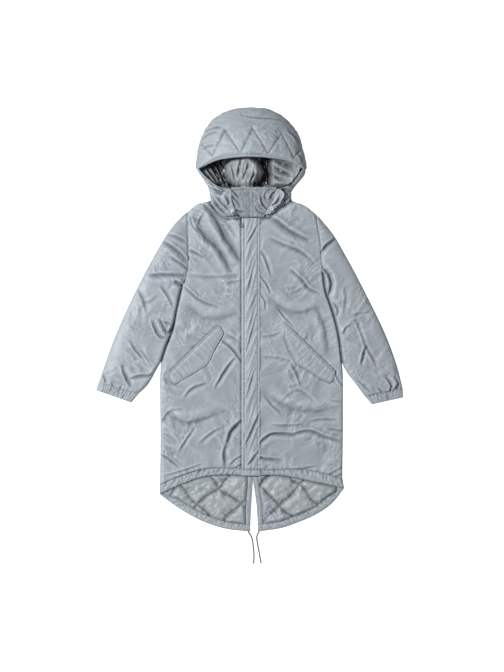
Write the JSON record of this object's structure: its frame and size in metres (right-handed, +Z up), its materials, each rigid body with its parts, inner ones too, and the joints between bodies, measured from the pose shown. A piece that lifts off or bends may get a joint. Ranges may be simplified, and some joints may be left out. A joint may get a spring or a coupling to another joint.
{
  "type": "hooded fishtail parka coat, lightly padded",
  "caption": "Long, lightly padded hooded coat with a fishtail hem, storm flap, slanting pocket flaps and gathered cuffs, laid flat with the hood standing open.",
  "frame": {"origin": "on the surface that the coat lies on, under the middle of the laid-out coat without its cords", "axes": "+Z up from the surface, +Y from the tail to the hood, +X towards the wearer's left, which is the viewer's right"},
  "size_m": [0.9816, 1.4621, 0.106],
  "materials": {
    "shell_cloth": "grey-blue woven nylon with a soft satin sheen, lightly padded and puckered",
    "lining_cloth": "grey-blue lining taffeta, a little shinier, quilted and crumpled",
    "cord": "round braided grey cord, matt",
    "eyelet_metal": "small pressed eyelets of pale metal"
  },
  "bodies": {
    "root": {"back_right": "shell_cloth", "back_left": "shell_cloth", "front_right": "shell_cloth", "front_left": "shell_cloth", "front_hem_right": "shell_cloth", "front_hem_left": "shell_cloth", "pocket_flap_right": "shell_cloth", "pocket_flap_left": "shell_cloth", "sleeve_right_upper": "shell_cloth", "sleeve_right_under": "shell_cloth", "sleeve_left_upper": "shell_cloth", "sleeve_left_under": "shell_cloth", "cuff_right_upper": "shell_cloth", "cuff_right_under": "shell_cloth", "cuff_left_upper": "shell_cloth", "cuff_left_under": "shell_cloth", "tail_channel_right": "shell_cloth", "tail_channel_left": "shell_cloth", "vent_facing_right": "shell_cloth", "vent_facing_left": "shell_cloth", "placket": "shell_cloth", "hood_brim": "shell_cloth", "hood_centre": "shell_cloth", "hood_crown_left": "shell_cloth", "hood_side_right": "shell_cloth", "hood_side_left": "shell_cloth", "hood_back": "shell_cloth", "collar_right": "shell_cloth", "collar_left": "shell_cloth", "tail_lining_right": "lining_cloth", "tail_lining_left": "lining_cloth", "hood_lining": "lining_cloth", "tail_cord_right": "cord", "tail_cord_left": "cord", "hood_cord": "cord", "eyelet_right": "eyelet_metal", "eyelet_left": "eyelet_metal"}
  },
  "joints": []
}
